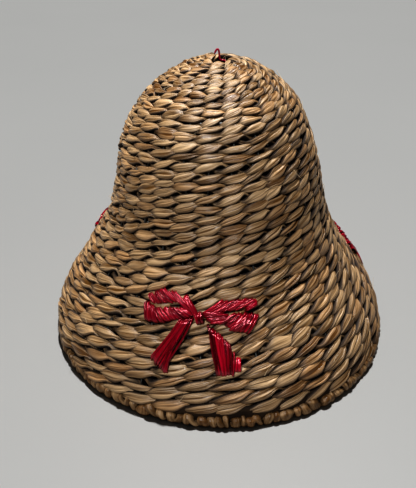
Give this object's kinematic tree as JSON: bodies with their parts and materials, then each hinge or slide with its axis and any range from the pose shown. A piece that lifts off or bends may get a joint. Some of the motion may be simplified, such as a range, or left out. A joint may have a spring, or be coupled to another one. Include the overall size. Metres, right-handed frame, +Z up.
{
  "type": "woven bell ornament",
  "caption": "Hollow bell-shaped ornament of twined rush with a wrapped rim, red raffia bows on the flare and a wire hook at the crown.",
  "frame": {"origin": "on the bell's axis, in the plane of the rim's underside", "axes": "+Z up the bell's axis towards the hook, -Y towards the front bow, +X to the right of the front"},
  "size_m": [0.2984, 0.2994, 0.2432],
  "materials": {
    "rush": "dried rush strips, semi-gloss with long fibres",
    "rim_rush": "dried rush wraps, more orange brown, satin",
    "raffia": "crimson raffia strands, glossy",
    "hook_wire": "red lacquered wire",
    "stake_wire": "grey steel wire, seen between the courses"
  },
  "bodies": {
    "root": {"woven_shell": "rush", "wrapped_rim": "rim_rush", "front_bow": "raffia", "right_bow": "raffia", "left_bow": "raffia", "hanging_hook": "hook_wire"}
  },
  "joints": []
}
